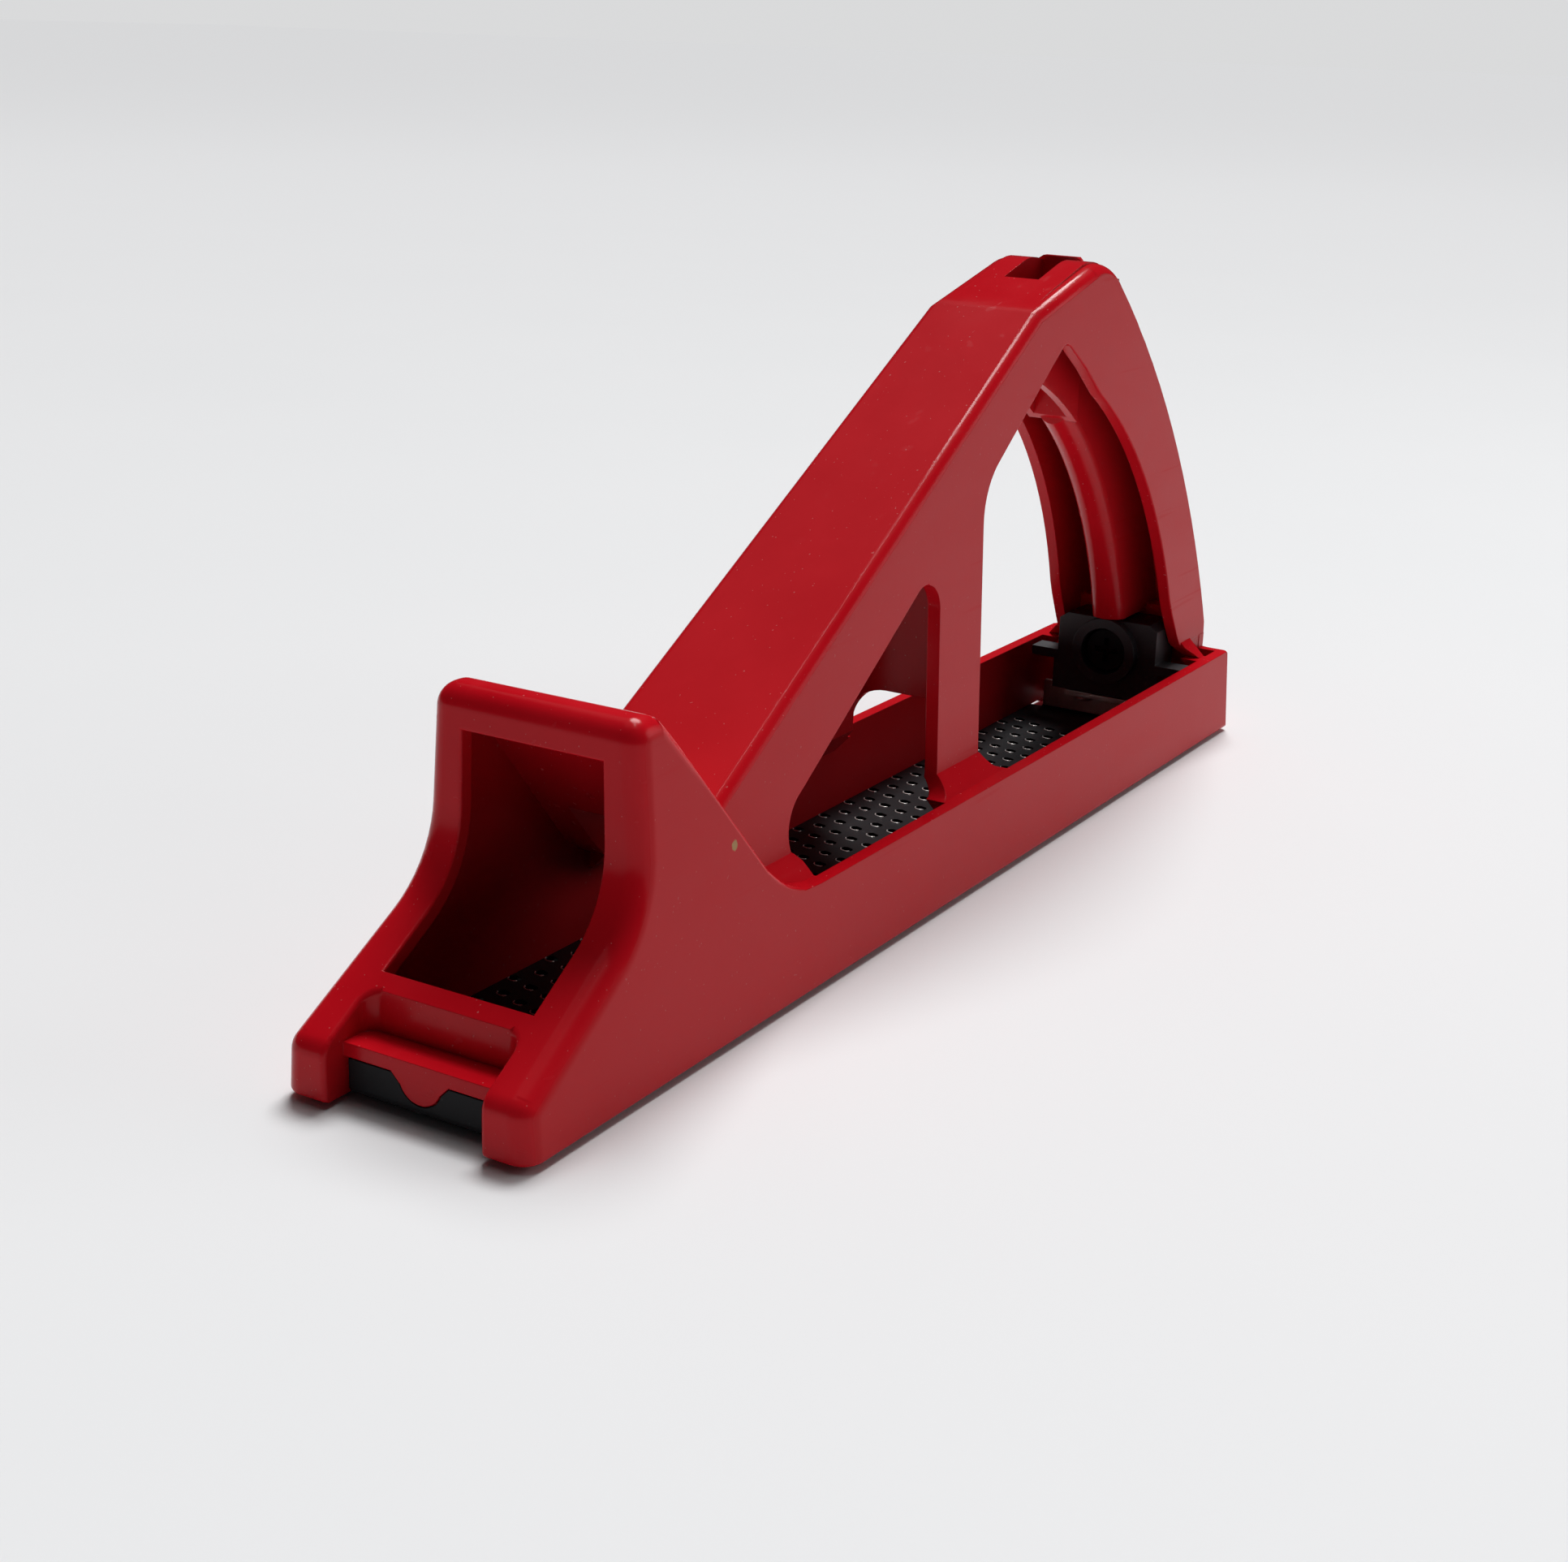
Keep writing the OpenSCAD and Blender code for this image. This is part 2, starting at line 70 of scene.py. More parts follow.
def along(x):
    """Where a distance in millimetres from the toe lies on the X axis."""
    return place(x, 0, 0).x


def height(z):
    """Where a height in millimetres above the frame's underside lies on the Z axis."""
    return place(0, 0, z).z


# Finishes

RED_DEEP = (0.55, 0.004, 0.011, 1.0)
RED_LIGHT = (0.61, 0.007, 0.015, 1.0)
# Painted sheen: the greyer, darker red mixed onto the side faces in place of reflected pale
# surroundings.
RED_SIDE_PAINTED_SHEEN = (0.5, 0.009, 0.013, 1.0)
RED_DUST = (0.62, 0.4, 0.38, 1.0)
SPECK = (51.5, -19.5, 29.7)
SPECK_RADIUS = 0.9
SPECK_COLOUR = (0.42, 0.3, 0.12, 1.0)
COATING_DEEP = (0.006, 0.006, 0.0075, 1.0)
COATING_LIGHT = (0.013, 0.013, 0.015, 1.0)
COATING_DUST = (0.3, 0.29, 0.28, 1.0)
# Pale steel of the sheared lips, partly a painted glint: lighter than the bare metal shows by
# reflection alone.
STEEL_GLINT_DEEP = (0.75, 0.74, 0.71, 1.0)
STEEL_GLINT_LIGHT = (0.92, 0.91, 0.88, 1.0)
PLASTIC_DEEP = (0.022, 0.021, 0.024, 1.0)
PLASTIC_LIGHT = (0.042, 0.04, 0.045, 1.0)
PLASTIC_DUST = (0.25, 0.22, 0.21, 1.0)
ZINC_DEEP = (0.56, 0.55, 0.5, 1.0)
ZINC_LIGHT = (0.74, 0.74, 0.72, 1.0)
FLOOR_MIDDLE = (0.0, -0.05, 0.0)
FLOOR_NEAR_DEEP = (0.79, 0.795, 0.805, 1.0)
FLOOR_NEAR_LIGHT = (0.81, 0.812, 0.82, 1.0)
FLOOR_FAR = (0.86, 0.863, 0.873, 1.0)
EDGE_SHINE = 0.22


class Value:
    """A number that varies over a surface. Sums and products of it add Math nodes."""

    def __init__(self, finish, socket):
        self.finish = finish
        self.socket = socket

    def math(self, operation, *others):
        node = self.finish.node(
            "ShaderNodeMath",
            {"operation": operation},
            {index: value for index, value in enumerate((self, *others))},
        )
        return Value(self.finish, node.outputs[0])

    def __add__(self, other):
        return self.math("ADD", other)

    def __radd__(self, other):
        return self.math("ADD", other)

    def __sub__(self, other):
        return self.math("SUBTRACT", other)

    def __rsub__(self, other):
        return Value.of(self.finish, other).math("SUBTRACT", self)

    def __mul__(self, other):
        return self.math("MULTIPLY", other)

    def __rmul__(self, other):
        return self.math("MULTIPLY", other)

    @staticmethod
    def of(finish, number):
        node = finish.node("ShaderNodeMath", {"operation": "ADD"}, {0: number, 1: 0.0})
        return Value(finish, node.outputs[0])

    def size(self):
        return self.math("ABSOLUTE")

    def between(self, low, high):
        """0 below low, 1 above high, and smooth between them."""
        node = self.finish.node(
            "ShaderNodeMapRange",
            {"interpolation_type": "SMOOTHSTEP"},
            {"Value": self, "From Min": low, "From Max": high},
        )
        return Value(self.finish, node.outputs[0])


class Finish:
    """A material on one Principled shader."""

    def __init__(self, name, **constants):
        self.material = bpy.data.materials.new(name)
        self.material.use_nodes = True
        self.tree = self.material.node_tree
        self.shader = self.tree.nodes["Principled BSDF"]
        for socket, value in constants.items():
            self.shader.inputs[socket.replace("_", " ")].default_value = value

    def node(self, kind, settings, inputs):
        """Adds a node of any kind: its settings first, then the values or links of its sockets."""
        node = self.tree.nodes.new(kind)
        for key, value in settings.items():
            setattr(node, key, value)
        for key, value in inputs.items():
            self.feed(node.inputs[key], value)
        return node

    def feed(self, socket, value):
        if isinstance(value, Value):
            value = value.socket
        if isinstance(value, bpy.types.NodeSocket):
            self.tree.links.new(value, socket)
        else:
            socket.default_value = value

    def set(self, name, value):
        self.feed(self.shader.inputs[name], value)

    def place(self):
        return self.node("ShaderNodeTexCoord", {}, {}).outputs["Object"]

    def normal_parts(self):
        normal = self.node("ShaderNodeTexCoord", {}, {}).outputs["Normal"]
        parts = self.node("ShaderNodeSeparateXYZ", {}, {0: normal})
        return [Value(self, output) for output in parts.outputs]

    def stretched(self, scale):
        node = self.node("ShaderNodeMapping", {}, {"Vector": self.place(), "Scale": scale})
        return node.outputs[0]

    def noise(self, scale, detail=3.0, rough=0.5, vector=None, distortion=0.0):
        node = self.node(
            "ShaderNodeTexNoise",
            {},
            {
                "Vector": vector or self.place(),
                "Scale": scale,
                "Detail": detail,
                "Roughness": rough,
                "Distortion": distortion,
            },
        )
        return Value(self, node.outputs[0])

    def mix(self, share, first, second):
        node = self.node(
            "ShaderNodeMix", {"data_type": "RGBA"}, {0: share, 6: first, 7: second}
        )
        return node.outputs[2]

    def distance(self, centre):
        """How far a place on the surface is from a point."""
        node = self.node(
            "ShaderNodeVectorMath", {"operation": "DISTANCE"}, {0: self.place(), 1: centre}
        )
        return Value(self, node.outputs["Value"])

    def spot(self, centre, radius):
        """1 inside a small round mark at a point, 0 outside, with a ragged rim."""
        ragged = self.distance(centre) + (self.noise(1400.0) - 0.5) * radius * 0.9
        return 1.0 - ragged.between(radius * 0.7, radius)

    def bump(self, relief, distance, strength):
        """Fine relief on top of normals that turn smoothly over each sharp edge."""
        rounded = self.node("ShaderNodeBevel", {"samples": 4}, {"Radius": EDGE_SHINE * MM})
        node = self.node(
            "ShaderNodeBump",
            {},
            {
                "Height": relief,
                "Distance": distance,
                "Strength": strength,
                "Normal": rounded.outputs[0],
            },
        )
        self.set("Normal", node.outputs[0])


def red_plastic():
    """Glossy moulded plastic: glossier on top than on the sides, with flow marks, dust and a painted
    sheen that greys and darkens the red of the side faces.
    """
    finish = Finish("red_moulded_plastic", IOR=1.46, Specular_IOR_Level=0.16)
    _, across, up = finish.normal_parts()
    side = across.size().between(0.86, 0.99)
    top = up.between(0.55, 0.85)
    cloud = finish.noise(38.0, detail=4.0, rough=0.55)
    flow_lines = finish.stretched((0.7, 2.6, 2.2))
    flow = finish.noise(22.0, detail=2.0, vector=flow_lines, distortion=1.6)
    grain = finish.noise(2600.0, detail=2.0)
    peel = finish.noise(520.0, detail=1.0)
    scratch_lines = finish.stretched((0.05, 1.0, 1.5))
    scratch = finish.noise(330.0, detail=2.0, vector=scratch_lines).between(0.66, 0.7)
    dust = finish.noise(2100.0, detail=0.0).between(0.82, 0.85)
    speck = finish.spot(place(*SPECK), SPECK_RADIUS * MM)
    base = finish.mix(cloud.between(0.3, 0.75), RED_DEEP, RED_LIGHT)
    # Painted sheen: side faces turn greyer and darker by their facing, standing in for reflections of
    # the pale surroundings.
    painted_side_sheen = finish.mix(side * (0.35 + cloud * 0.4), base, RED_SIDE_PAINTED_SHEEN)
    dust_and_painted_sheen = finish.mix(dust * 0.2, painted_side_sheen, RED_DUST)
    finish.set("Base Color", finish.mix(speck * 0.85, dust_and_painted_sheen, SPECK_COLOUR))
    rough = 0.2 + side * 0.15 - top * 0.05 + (cloud - 0.5) * 0.12 + (flow - 0.5) * 0.14
    finish.set("Roughness", rough + scratch * 0.08 + dust * 0.3)
    finish.bump(grain * (0.25 + side * 0.6) + peel * 1.2 + scratch * 0.4, 0.00001, 0.5)
    return finish.material


def coated_steel():
    """Black coating on steel, clouded and a little dusty."""
    finish = Finish("black_coated_steel", IOR=1.5, Specular_IOR_Level=0.14)
    cloud = finish.noise(60.0, detail=4.0)
    grain = finish.noise(1500.0, detail=3.0)
    dust = finish.noise(900.0, detail=2.0).between(0.66, 0.76)
    colour = finish.mix(cloud, COATING_DEEP, COATING_LIGHT)
    finish.set("Base Color", finish.mix(dust * 0.08, colour, COATING_DUST))
    finish.set("Metallic", 0.06 - cloud * 0.04)
    finish.set("Roughness", 0.36 + cloud * 0.16 + dust * 0.2)
    finish.bump(grain, 0.00002, 0.5)
    return finish.material


def steel_with_painted_glint():
    """Bare steel where the punch has sheared the sheet, pale and partly diffuse so that it also shows
    a painted glint.
    """
    finish = Finish("sheared_steel_painted_glint", Metallic=0.6)
    grain = finish.noise(3000.0, detail=2.0)
    finish.set("Base Color", finish.mix(grain, STEEL_GLINT_DEEP, STEEL_GLINT_LIGHT))
    finish.set("Roughness", 0.22 + grain * 0.2)
    finish.bump(grain, 0.00002, 0.6)
    return finish.material


def black_plastic():
    """Satin black moulding with a fine grain and pale dust."""
    finish = Finish("black_moulded_plastic", IOR=1.48)
    cloud = finish.noise(90.0, detail=3.0)
    grain = finish.noise(2400.0, detail=2.0)
    dust = finish.noise(1300.0, detail=1.0).between(0.7, 0.78)
    colour = finish.mix(cloud, PLASTIC_DEEP, PLASTIC_LIGHT)
    finish.set("Base Color", finish.mix(dust * 0.2, colour, PLASTIC_DUST))
    finish.set("Roughness", 0.38 + cloud * 0.14 + dust * 0.2)
    finish.bump(grain, 0.00003, 0.6)
    return finish.material


def zinc_plate():
    """Zinc plated steel: bright, slightly yellow in patches, with fine drawing lines."""
    finish = Finish("zinc_plated_steel", Metallic=1.0)
    cloud = finish.noise(300.0, detail=4.0)
    lines = finish.noise(900.0, detail=2.0, vector=finish.stretched((1.0, 0.08, 1.0)))
    finish.set("Base Color", finish.mix(cloud, ZINC_DEEP, ZINC_LIGHT))
    finish.set("Roughness", 0.24 + cloud * 0.16 + lines * 0.08)
    finish.bump(lines, 0.00002, 0.5)
    return finish.material


def pale_floor():
    """Pale paper, with a slightly lighter colour far from the object."""
    finish = Finish("pale_paper", Roughness=0.75, Specular_IOR_Level=0.25)
    far = finish.distance(FLOOR_MIDDLE).between(0.3, 2.2)
    mottle = finish.noise(7.0, detail=2.0)
    near_colour = finish.mix(mottle, FLOOR_NEAR_DEEP, FLOOR_NEAR_LIGHT)
    finish.set("Base Color", finish.mix(far, near_colour, FLOOR_FAR))
    return finish.material


# Making of pieces

SAME_POINT = 2e-6
FLAT_ANGLE = 0.4
SHARP_ANGLE = 32
FITTING_SMOOTH_ANGLE = 38
SMOOTH_ANGLE = 30


def only(piece):
    """Selects one piece and nothing else."""
    bpy.ops.object.select_all(action="DESELECT")
    piece.select_set(True)
    bpy.context.view_layer.objects.active = piece


def edit(piece):
    only(piece)
    bpy.ops.object.mode_set(mode="EDIT")


def leave():
    bpy.ops.object.mode_set(mode="OBJECT")


def faces_of_edges(mesh):
    """The faces round each edge, by the edge's two vertices in order."""
    faces = {}
    for polygon in mesh.polygons:
        for key in polygon.edge_keys:
            faces.setdefault(key, []).append(polygon)
    return faces


def ends_and_faces(mesh, edge, faces):
    """The places of an edge's ends, and the faces round it."""
    ends = [mesh.vertices[index].co for index in edge.vertices]
    return ends, faces.get(tuple(sorted(edge.vertices)), [])


def choose_edges(piece, wanted):
    """Selects the edges of a piece that wanted accepts, leaves it in edit mode and counts them."""
    edit(piece)
    bpy.ops.mesh.select_mode(type="EDGE")
    bpy.ops.mesh.select_all(action="DESELECT")
    leave()
    faces = faces_of_edges(piece.data)
    found = 0
    for edge in piece.data.edges:
        ends, around = ends_and_faces(piece.data, edge, faces)
        edge.select = len(around) == 2 and wanted(ends, around)
        found += edge.select
    edit(piece)
    return found


def copy_of(node, name):
    """A merged copy of a CAD node as a new piece, with its flat faces whole again."""
    only(frame["nodes"][node])
    bpy.ops.object.duplicate()
    piece = bpy.context.view_layer.objects.active
    piece.name = name
    piece.data.name = name
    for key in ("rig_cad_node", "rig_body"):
        del piece[key]
    piece.parent = None
    piece.data.materials.clear()
    edit(piece)
    bpy.ops.mesh.customdata_custom_splitnormals_clear()
    bpy.ops.mesh.select_all(action="SELECT")
    bpy.ops.mesh.remove_doubles(threshold=SAME_POINT)
    bpy.ops.mesh.dissolve_limited(angle_limit=math.radians(FLAT_ANGLE))
    leave()
    return piece


def even_shading(piece, smooth_angle, weight=50):
    """Smooths the shading of gentle turns and keeps the large faces flat."""
    only(piece)
    bpy.ops.object.shade_smooth_by_angle(angle=math.radians(smooth_angle))
    flat = piece.modifiers.new("flat_faces", "WEIGHTED_NORMAL")
    flat.keep_sharp = True
    flat.weight = weight
    bpy.ops.object.modifier_apply(modifier=flat.name)


def soften(piece, width):
    """Breaks the sharp edges of a piece and smooths its shading."""
    only(piece)
    bevel = piece.modifiers.new("broken_edges", "BEVEL")
    bevel.width = width
    bevel.segments = 2
    bevel.limit_method = "ANGLE"
    bevel.angle_limit = math.radians(SHARP_ANGLE)
    bevel.use_clamp_overlap = True
    bpy.ops.object.modifier_apply(modifier=bevel.name)
    even_shading(piece, FITTING_SMOOTH_ANGLE, weight=60)


def dress(piece, body, slot, material, *nodes):
    """Gives a piece its finish and the body it rides on, and hides the CAD nodes it stands for."""
    piece.data.materials.append(material)
    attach(piece, body)
    if nodes:
        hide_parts(*nodes)


# Frame: all sizes in millimetres, lengths from the toe, heights from the frame's underside

SIDE_FROM_MIDDLE = 16.9
RAIL_SIDE = 18
FOOT_INNER = 13.6
SAME_LEVEL = 0.02

NOSE_RADIUS = 3.3
NOSE_SEGMENTS = 7
NOSE_FRONT_END = 33.5
NOSE_BACK_START = 38
NOSE_BACK_FOOT = 60
NOSE_BACK_END = 74
NOSE_BACK_SHARE = 0.38
NOSE_FOOT_SHARE = 0.3

RECESS_BACK = 12
TONGUE_START = 3.5
TONGUE_TOP = 8.5
MOUTH_LOW = 11
MOUTH_HIGH = 47
MOUTH_BACK = 29.2
RAIL_TOP = 16.6
RAIL_TOP_START = 77.5
HEEL_NEAR_END = 247
SOLE_TOE_END = 20
TOE_FROM_MIDDLE = 120
WINDOW_LOW = 20
HANDLE_HALF = 10.5
WINDOWS_MIDDLE = (150, 45)

SEAMS = (
    ((162.0, 11.42, 95.15), (0.27, -0.69, -0.64)),
    ((198.0, 11.3, 98.51), (-0.43, -0.69, -0.54)),
)
SEAM_REACH = 0.55
LIP_X = 194.3
LIP_REACH = 1.5
LIP_LOW = 102.1
LIP_OUTER = 4.5
SLOT_HALF = 3.5


def points_out(face):
    """Whether a face looks away from the middle plane."""
    return face.normal.y * face.center.y > 0


def outer_side(face):
    """Whether a face is on the leaning outer side of rails and nose."""
    upright = abs(face.normal.y) > 0.985 and face.normal.z > 0.05
    return points_out(face) and upright and abs(face.center.y) > SIDE_FROM_MIDDLE * MM


def other_face(around, accepted):
    """The face of an edge that accepted refuses, where it takes the other one, or None."""
    taken = [accepted(face) for face in around]
    if taken[0] == taken[1]:
        return None
    return around[1] if taken[0] else around[0]


def turn(around):
    """1 where the two faces of an edge look the same way, and less the more they differ."""
    return around[0].normal.dot(around[1].normal)


def nose_share(ends, around):
    """How much of the full radius an edge of the nose has: all of it in front, less down the back."""
    other = other_face(around, outer_side)
    if other is None or max(end.z for end in ends) < height(0.05):
        return 0.0
    x = (sum(end.x for end in ends) / 2 - along(0)) / MM
    if x < NOSE_FRONT_END:
        return 1.0
    if x > NOSE_BACK_END or other.normal.z < 0.2:
        return 0.0
    if x < NOSE_BACK_START:
        crest = NOSE_BACK_START - NOSE_FRONT_END
        return 1.0 - (1 - NOSE_BACK_SHARE) * (x - NOSE_FRONT_END) / crest
    if x < NOSE_BACK_FOOT:
        return NOSE_BACK_SHARE
    foot = NOSE_BACK_END - NOSE_BACK_FOOT
    return NOSE_BACK_SHARE - NOSE_FOOT_SHARE * (x - NOSE_BACK_FOOT) / foot


def recess_edge(ends, around):
    """The edge of the step between the two feet, where it opens on the toe and on the slope."""
    if any(end.x > along(RECESS_BACK) or abs(end.y) > FOOT_INNER * MM for end in ends):
        return False
    if any(end.x > along(TONGUE_START) and end.z < height(TONGUE_TOP) for end in ends):
        return False
    slopes = [face.normal.x < -0.4 and abs(face.normal.y) < 0.05 for face in around]
    return slopes[0] != slopes[1] and turn(around) < 0.8


def mouth_edge(ends, around):
    """The outer edge of the front opening."""
    if any(not height(MOUTH_LOW) < end.z < height(MOUTH_HIGH) for end in ends):
        return False
    if any(abs(end.y) > FOOT_INNER * MM or end.x > along(MOUTH_BACK) for end in ends):
        return False
    fronts = [face for face in around if face.normal.x < -0.3 and abs(face.normal.y) < 0.05]
    return len(fronts) == 1 and turn(around) < 0.5


def rail_top_edge(ends, around):
    """The outer edge of the rails' tops, round the heel too."""
    if any(abs(end.z - height(RAIL_TOP)) > SAME_LEVEL * MM for end in ends):
        return False
    if any(end.x < along(RAIL_TOP_START) for end in ends):
        return False
    other = other_face(around, lambda face: face.normal.z > 0.99)
    if other is None:
        return False
    at_side = points_out(other) and abs(other.center.y) > RAIL_SIDE * MM
    at_heel = other.normal.x > 0.2 and other.center.x > along(HEEL_NEAR_END)
    return abs(other.normal.z) < 0.1 and (at_side or at_heel)


def sole_edge(ends, around):
    """The outer edges of the underside that start within the toe: its front and both long sides."""
    if any(abs(end.z - height(0)) > SAME_LEVEL * MM for end in ends):
        return False
    if all(end.x > along(SOLE_TOE_END) for end in ends):
        return False
    other = other_face(around, lambda face: face.normal.z < -0.99)
    if other is None:
        return False
    at_side = points_out(other) and abs(other.center.y) > RAIL_SIDE * MM
    at_toe = abs(other.normal.x) > 0.2 and abs(other.center.x) > TOE_FROM_MIDDLE * MM
    return abs(other.normal.z) < 0.1 and (at_side or at_toe)


def window_edge(ends, around):
    """The outer edges of the two windows."""
    if any(end.z < height(WINDOW_LOW) or abs(end.y) < HANDLE_HALF * MM for end in ends):
        return False
    other = other_face(around, lambda face: abs(face.normal.y) > 0.99 and points_out(face))
    if other is None:
        return False
    x, z = WINDOWS_MIDDLE
    middle = Vector((along(x), other.center.y, height(z)))
    return abs(other.normal.y) < 0.02 and other.normal.dot(middle - other.center) > 0


EDGES = (
    (recess_edge, 0.8, 4),
    (mouth_edge, 0.5, 3),
    (rail_top_edge, 0.5, 3),
    (sole_edge, 0.7, 4),
    (window_edge, 0.35, 3),
)


def round_edges(piece, wanted, width, segments):
    """Rounds the edges of a piece that wanted accepts."""
    if choose_edges(piece, wanted):
        bpy.ops.mesh.bevel(
            offset=width,
            offset_type="OFFSET",
            segments=segments,
            profile=0.5,
            affect="EDGES",
            clamp_overlap=False,
        )
    leave()


def round_nose(piece, radius, segments):
    """Rounds the long edges of the nose, by a share of the radius that nose_share gives."""
    mesh = piece.data
    faces = faces_of_edges(mesh)
    weight = mesh.attributes.new("bevel_weight_edge", "FLOAT", "EDGE")
    for edge in mesh.edges:
        ends, around = ends_and_faces(mesh, edge, faces)
        if len(around) == 2:
            weight.data[edge.index].value = nose_share(ends, around)
    only(piece)
    bevel = piece.modifiers.new("nose_edges", "BEVEL")
    bevel.width = radius
    bevel.segments = segments
    bevel.limit_method = "WEIGHT"
    bevel.use_clamp_overlap = False
    bpy.ops.object.modifier_apply(modifier=bevel.name)
    mesh.attributes.remove(mesh.attributes["bevel_weight_edge"])


def press_seams(piece):
    """Moves the corners left standing between two edge roundings of the handle onto the round."""
    for (x, y, z), (dx, dy, dz) in SEAMS:
        for side in (-1, 1):
            corner = place(x, side * y, z)
            for vertex in piece.data.vertices:
                if (vertex.co - corner).length < SEAM_REACH * MM:
                    vertex.co += Vector((dx, side * dy, dz)) * MM


def narrow_lip(piece):
    """Makes the raised lip behind the hanging slot as wide as the slot."""
    for vertex in piece.data.vertices:
        near = abs(vertex.co.x - along(LIP_X)) < LIP_REACH * MM and vertex.co.z > height(LIP_LOW)
        if near and abs(vertex.co.y) > LIP_OUTER * MM:
            vertex.co.y = math.copysign(SLOT_HALF * MM, vertex.co.y)


def moulded_frame(material):
    """The red moulding, with the nose's long edges rounded and its other edges just broken."""
    piece = copy_of("body_frame", "moulded_frame")
    press_seams(piece)
    narrow_lip(piece)
    round_nose(piece, NOSE_RADIUS * MM, NOSE_SEGMENTS)
    for wanted, width, segments in EDGES:
        round_edges(piece, wanted, width * MM, segments)
    even_shading(piece, SMOOTH_ANGLE)
    dress(piece, "frame", "red_plastic", material, "body_frame")


# Blade

RIM_RADIUS = 1.12
RIM_THICKNESS = 0.15
RIM_CUT = -0.3
RIM_SHAPE = (0.85, 1.0, 0.9)
RIM_TURN = -18.3
RIM_HEIGHT = 0.86
PUNCHED_LENGTH = 205.3
FIRST_ROW = 18.5
ROW_STEP = 4.75
ROW_LEAN = 0.33
ROW_TEETH = 9
TOOTH_STEP = 4.2


def punched_blade(material):
    blade = copy_of("rasp_blade", "punched_blade")
    only(blade)
    bpy.ops.object.shade_smooth_by_angle(angle=math.radians(SMOOTH_ANGLE))
    dress(blade, "frame", "blade_steel", material, "rasp_blade")


def tooth_places():
    """Where the rims sit: slanted rows, each second one set off by half a step."""
    places = []
    for row in range(math.floor(PUNCHED_LENGTH / ROW_STEP)):
        for column in range(ROW_TEETH):
            from_middle = (column - (ROW_TEETH - 1) / 2) * TOOTH_STEP
            y = from_middle + (row % 2) * TOOTH_STEP / 2 - TOOTH_STEP / 4
            x = FIRST_ROW + row * ROW_STEP + ROW_LEAN * y
            places.append(place(x, y, RIM_HEIGHT))
    return places


def one_rim():
    """A part of a thin ring, flattened and turned to face along its slanted tooth."""
    bpy.ops.mesh.primitive_torus_add(
        major_radius=RIM_RADIUS * MM,
        minor_radius=RIM_THICKNESS * MM,
        major_segments=20,
        minor_segments=6,
        location=(0, 0, 0),
    )
    rim = bpy.context.view_layer.objects.active
    edit(rim)
    bpy.ops.mesh.select_all(action="SELECT")
    bpy.ops.mesh.bisect(
        plane_co=(RIM_CUT * MM, 0, 0), plane_no=(1, 0, 0), clear_outer=True, use_fill=True
    )
    bpy.ops.mesh.select_all(action="SELECT")
    bpy.ops.transform.resize(value=RIM_SHAPE)
    leave()
    rim.data.transform(Matrix.Rotation(math.radians(RIM_TURN), 4, "Z"))
    return rim


def tooth_rims(material):
    """Sheared lips, one at the front of each hole in the blade, bright partly from a painted glint in
    their steel.
    """
    rim = one_rim()
    rims = []
    for point in tooth_places():
        one = rim.copy()
        one.data = rim.data.copy()
        one.data.transform(Matrix.Translation(point))
        bpy.context.scene.collection.objects.link(one)
        rims.append(one)
    bpy.data.objects.remove(rim)
    bpy.ops.object.select_all(action="DESELECT")
    for one in rims:
        one.select_set(True)
    bpy.context.view_layer.objects.active = rims[0]
    bpy.ops.object.join()
    piece = bpy.context.view_layer.objects.active
    piece.name = "tooth_rims"
    piece.data.name = "tooth_rims"
    bpy.ops.object.shade_smooth()
    dress(piece, "frame", "blade_steel", material)


# Tensioner: CAD node, name, body, slot and width of its broken edges in millimetres

FITTINGS = (
    ("tension_slider", "slider_moulding", "slider", "black_plastic", 0.5),
    ("hook_plate", "hook_sheet", "slider", "plated_steel", 0.2),
    ("hook_rivets", "rivet_pair", "slider", "plated_steel", 0.25),
    ("tension_screw", "cross_head_screw", "screw", "blade_steel", 0.3),
    ("screw_washer", "plain_washer", "slider", "blade_steel", 0.12),
    ("heel_nut", "captive_nut", "frame", "plated_steel", 0.25),
)


def tensioner(finishes):
    for node, name, body, slot, edge in FITTINGS:
        piece = copy_of(node, name)
        soften(piece, edge * MM)
        dress(piece, body, slot, finishes[slot], node)


# Camera, lights and floor

CAMERA_PLACE = (-0.3385, -0.18473, 0.14369)
CAMERA_TURN = -59.30
CAMERA_RISE = 18.25
CAMERA_ROLL = 1.85
FOCAL_LENGTH = 52.86
SENSOR_WIDTH = 36.0
FLOOR_SIZE = 24.0
KEY_FROM = (0.46, 0.13, 0.87)
KEY_SPREAD = 28.0
KEY_STRENGTH = 2.85
WORLD_COLOUR = (0.86, 0.88, 0.92, 1.0)
WORLD_STRENGTH = 0.03
SEEN_FAR = (0.7, 0.703, 0.708, 1.0)

LAMPS = (
    ("ceiling", (0.45, 0.2, 2.2), (0.0, 0.0, 0.0), (2.4, 2.4), 6.5),
    ("strip", (0.08, -0.16, 1.3), (-0.05, 0.0, 0.0), (0.42, 0.08), 1.4),
    ("heel_fill", (0.5, -0.62, 0.36), (0.05, 0.0, 0.03), (0.5, 0.4), 1.1),
)


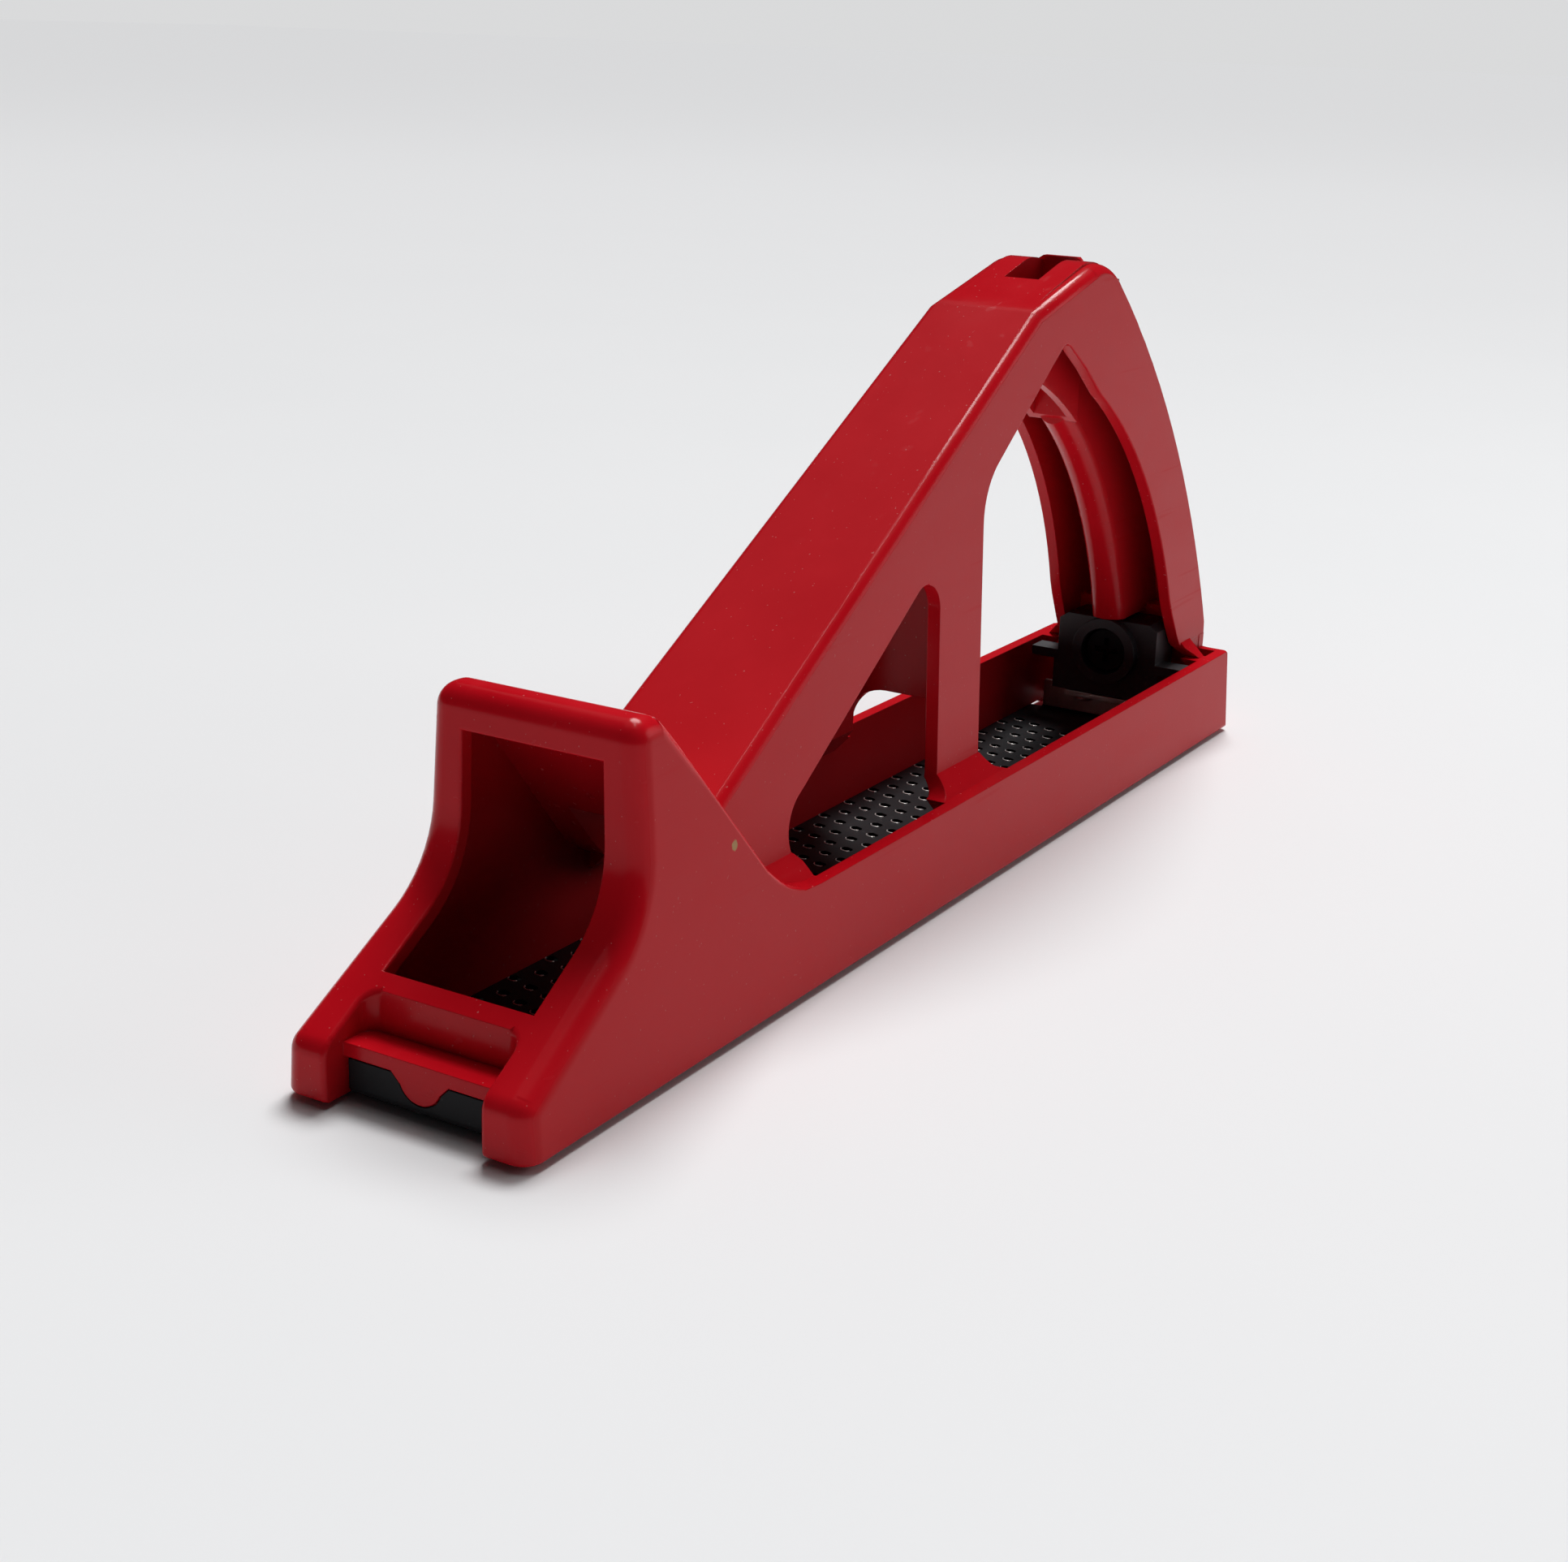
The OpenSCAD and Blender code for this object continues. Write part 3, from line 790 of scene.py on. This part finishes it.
def camera():
    data = bpy.data.cameras.new("camera")
    data.sensor_width = SENSOR_WIDTH
    data.lens = FOCAL_LENGTH
    data.clip_start = 0.02
    data.clip_end = 60.0
    turned = math.radians(CAMERA_TURN)
    rise = math.radians(CAMERA_RISE)
    roll = math.radians(CAMERA_ROLL)
    back = Vector(
        (math.sin(turned) * math.cos(rise), -math.cos(turned) * math.cos(rise), math.sin(rise))
    )
    right = Vector((math.cos(turned), math.sin(turned), 0))
    up = right.cross(-back)
    level = math.cos(roll) * right + math.sin(roll) * up
    upright = -math.sin(roll) * right + math.cos(roll) * up
    piece = bpy.data.objects.new("camera", data)
    stand = Matrix((level, upright, back)).transposed().to_4x4()
    stand.translation = Vector(CAMERA_PLACE)
    piece.matrix_world = stand
    bpy.context.scene.collection.objects.link(piece)
    bpy.context.scene.camera = piece


def lamp(name, where, towards, size, watts):
    data = bpy.data.lights.new(name, "AREA")
    data.shape = "RECTANGLE"
    data.size, data.size_y = size
    data.energy = watts
    piece = bpy.data.objects.new(name, data)
    piece.location = where
    piece.rotation_mode = "QUATERNION"
    piece.rotation_quaternion = (Vector(towards) - Vector(where)).to_track_quat("-Z", "Y")
    bpy.context.scene.collection.objects.link(piece)


def soft_key():
    """A very soft distant light, so that the floor is lit evenly out to the far edge."""
    data = bpy.data.lights.new("soft_key", "SUN")
    data.angle = math.radians(KEY_SPREAD)
    data.energy = KEY_STRENGTH
    piece = bpy.data.objects.new("soft_key", data)
    piece.rotation_mode = "QUATERNION"
    piece.rotation_quaternion = Vector(KEY_FROM).to_track_quat("Z", "Y")
    bpy.context.scene.collection.objects.link(piece)


def world_light():
    """A weak pale light from all sides, with a brighter grey where the camera looks past the floor."""
    world = bpy.data.worlds.new("studio")
    bpy.context.scene.world = world
    world.use_nodes = True
    tree = world.node_tree
    background = tree.nodes["Background"]
    background.inputs["Color"].default_value = WORLD_COLOUR
    background.inputs["Strength"].default_value = WORLD_STRENGTH
    seen = tree.nodes.new("ShaderNodeBackground")
    seen.inputs["Color"].default_value = SEEN_FAR
    seen.inputs["Strength"].default_value = 1.0
    path = tree.nodes.new("ShaderNodeLightPath")
    mixed = tree.nodes.new("ShaderNodeMixShader")
    tree.links.new(path.outputs["Is Camera Ray"], mixed.inputs[0])
    tree.links.new(background.outputs[0], mixed.inputs[1])
    tree.links.new(seen.outputs[0], mixed.inputs[2])
    tree.links.new(mixed.outputs[0], tree.nodes["World Output"].inputs[0])


def floor():
    bpy.ops.mesh.primitive_grid_add(
        x_subdivisions=8, y_subdivisions=8, size=FLOOR_SIZE, location=(0, 0, 0)
    )
    piece = bpy.context.view_layer.objects.active
    piece.name = "floor"
    piece.data.materials.append(pale_floor())


def main():
    finishes = {
        "red_plastic": red_plastic(),
        "blade_steel": coated_steel(),
        "sheared_steel_painted_glint": steel_with_painted_glint(),
        "black_plastic": black_plastic(),
        "plated_steel": zinc_plate(),
    }
    moulded_frame(finishes["red_plastic"])
    punched_blade(finishes["blade_steel"])
    tooth_rims(finishes["sheared_steel_painted_glint"])
    tensioner(finishes)
    floor()
    world_light()
    soft_key()
    for settings in LAMPS:
        lamp(*settings)
    camera()
    bpy.context.scene.view_settings.view_transform = "Standard"
    bpy.ops.object.select_all(action="DESELECT")


main()
